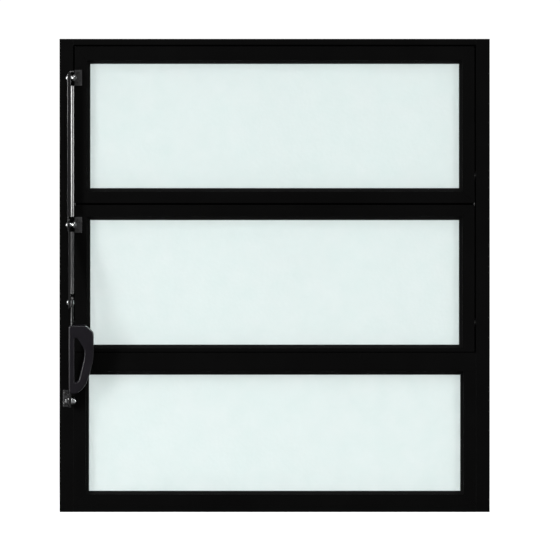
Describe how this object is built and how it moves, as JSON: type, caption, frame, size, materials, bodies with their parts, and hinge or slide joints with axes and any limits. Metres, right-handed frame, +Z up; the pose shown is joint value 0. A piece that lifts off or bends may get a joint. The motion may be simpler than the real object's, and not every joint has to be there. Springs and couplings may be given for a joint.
{
  "type": "tilting window",
  "caption": "Black aluminium tilting window: linked pivoting sashes over a fixed pane, worked by a side lever with a D grip and link rods.",
  "frame": {"origin": "middle of the sill's underside, at half the frame's depth", "axes": "+X to the right seen from the room, +Y from the room to the outside, +Z up"},
  "size_m": [0.6, 0.086, 0.66],
  "materials": {
    "frame_aluminium": "satin black powder coat",
    "obscure_glass": "pale obscure patterned glass",
    "epdm_rubber": "matt black glazing rubber",
    "pile": "dark woven pile",
    "pivot_nylon": "black nylon",
    "grip_nylon": "moulded charcoal nylon",
    "black_steel": "glossy black paint",
    "bracket_steel": "dark grey coating",
    "black_screw": "black oxide",
    "zinc_steel": "bright zinc plate",
    "key_aluminium": "mill finish"
  },
  "bodies": {
    "frame": {"left_jamb": "frame_aluminium", "right_jamb": "frame_aluminium", "head_rail": "frame_aluminium", "sill_rail": "frame_aluminium", "transom_rail": "frame_aluminium", "frame_screws": "zinc_steel", "left_pile_seal": "pile", "right_pile_seal": "pile", "head_weatherstrip": "epdm_rubber", "transom_weatherstrip": "epdm_rubber", "left_pivot_bushes": "pivot_nylon", "right_pivot_bushes": "pivot_nylon", "fixed_left_channel": "frame_aluminium", "fixed_right_channel": "frame_aluminium", "fixed_bottom_channel": "frame_aluminium", "channel_screws": "zinc_steel", "fixed_glass": "obscure_glass", "fixed_glass_gasket": "epdm_rubber", "lever_bracket": "bracket_steel", "lever_bracket_screws": "black_screw", "lever_pivot_bolt": "zinc_steel", "lever_pivot_washers": "zinc_steel", "lever_pivot_nut": "zinc_steel"},
    "lower_sash": {"lower_sash_top_rail": "frame_aluminium", "lower_sash_bottom_rail": "frame_aluminium", "lower_sash_left_stile": "frame_aluminium", "lower_sash_right_stile": "frame_aluminium", "lower_sash_corner_keys": "key_aluminium", "lower_glass": "obscure_glass", "lower_glass_gasket": "epdm_rubber", "lower_pivot_pins": "black_screw", "lower_sash_bracket": "bracket_steel", "lower_bracket_screws": "black_screw", "middle_link_rivet": "zinc_steel", "middle_link_spacer": "zinc_steel"},
    "upper_sash": {"upper_sash_top_rail": "frame_aluminium", "upper_sash_bottom_rail": "frame_aluminium", "upper_sash_left_stile": "frame_aluminium", "upper_sash_right_stile": "frame_aluminium", "upper_sash_corner_keys": "key_aluminium", "upper_glass": "obscure_glass", "upper_glass_gasket": "epdm_rubber", "upper_pivot_pins": "black_screw", "upper_sash_bracket": "bracket_steel", "upper_bracket_screws": "black_screw", "upper_link_rivet": "zinc_steel", "upper_link_spacer": "zinc_steel", "interlock_seal": "epdm_rubber"},
    "upper_rod": {"upper_link_rod": "black_steel"},
    "lower_rod": {"lower_link_rod": "black_steel"},
    "lever": {"lever_bar": "black_steel", "lever_grip": "grip_nylon", "grip_screws": "zinc_steel", "lever_link_rivet": "zinc_steel"}
  },
  "joints": [
    {"name": "lower_sash_tilt", "type": "hinge", "parent": "frame", "child": "lower_sash", "pos_m": [0, -0.013, 0.2632], "axis": [1, 0, 0], "range_deg": [0, 50]},
    {"name": "upper_sash_tilt", "type": "hinge", "parent": "frame", "child": "upper_sash", "pos_m": [0, -0.013, 0.4682], "axis": [1, 0, 0], "range_deg": [0, 50]},
    {"name": "lever_swing", "type": "hinge", "parent": "frame", "child": "lever", "pos_m": [-0.285, -0.036, 0.1551], "axis": [1, 0, 0], "range_deg": [0, 50]},
    {"name": "upper_rod_pivot", "type": "hinge", "parent": "lower_sash", "child": "upper_rod", "pos_m": [-0.283, -0.032, 0.4006], "axis": [1, 0, 0], "range_deg": [-50, 0]},
    {"name": "lower_rod_pivot", "type": "hinge", "parent": "lower_sash", "child": "lower_rod", "pos_m": [-0.283, -0.032, 0.4006], "axis": [1, 0, 0], "range_deg": [-50, 0]}
  ],
  "couplings": [
    {"joint": "upper_sash_tilt", "follows": "lower_sash_tilt", "ratio": 1},
    {"joint": "lever_swing", "follows": "lower_sash_tilt", "ratio": 1},
    {"joint": "upper_rod_pivot", "follows": "lower_sash_tilt", "ratio": -1},
    {"joint": "lower_rod_pivot", "follows": "lower_sash_tilt", "ratio": -1}
  ]
}
